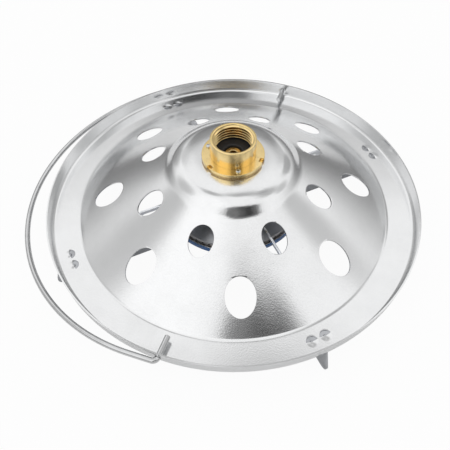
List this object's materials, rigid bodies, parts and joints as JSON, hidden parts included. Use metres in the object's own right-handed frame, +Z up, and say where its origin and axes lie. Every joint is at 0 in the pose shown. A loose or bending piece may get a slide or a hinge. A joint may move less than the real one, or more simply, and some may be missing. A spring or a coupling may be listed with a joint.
{
  "type": "camping gas burner",
  "caption": "Bottle-top camping gas burner: vented steel dish with radial pot supports, threaded brass gas inlet, crimped burner head and a swinging wire carrying handle, stood upside down.",
  "frame": {"origin": "on the hub axis, in the plane of the four pan rests that the burner stands on in the picture", "axes": "+Z up along the hub axis and out of the gas inlet's mouth, Y along the handle's pivots, the handle lying towards -X"},
  "size_m": [0.238, 0.2268, 0.0692],
  "materials": {
    "dish_steel": "satin, fine rolled grain",
    "support_steel": "bright rolled sheet",
    "handle_wire": "bright drawn wire",
    "turned_brass": "turned, lightly tarnished",
    "plated_screw": "zinc plated",
    "seal_rubber": "matt black rubber",
    "burner_steel": "dark pressed steel",
    "cap_enamel": "glossy blue enamel"
  },
  "bodies": {
    "burner": {"dish": "dish_steel", "pot_support_1": "support_steel", "pot_support_2": "support_steel", "pot_support_3": "support_steel", "pot_support_4": "support_steel", "inlet_collar": "turned_brass", "collar_washer": "turned_brass", "ring_nut": "turned_brass", "lock_screws": "plated_screw", "inlet_seal": "seal_rubber", "jet_holder": "turned_brass", "gas_jet": "turned_brass", "mixing_tube": "burner_steel", "burner_bowl": "burner_steel", "burner_cap": "cap_enamel"},
    "handle": {"carrying_handle": "handle_wire"}
  },
  "joints": [
    {"name": "handle_swing", "type": "hinge", "parent": "burner", "child": "handle", "pos_m": [0, 0, 0.0212], "axis": [0, 1, 0], "continuous": true}
  ]
}
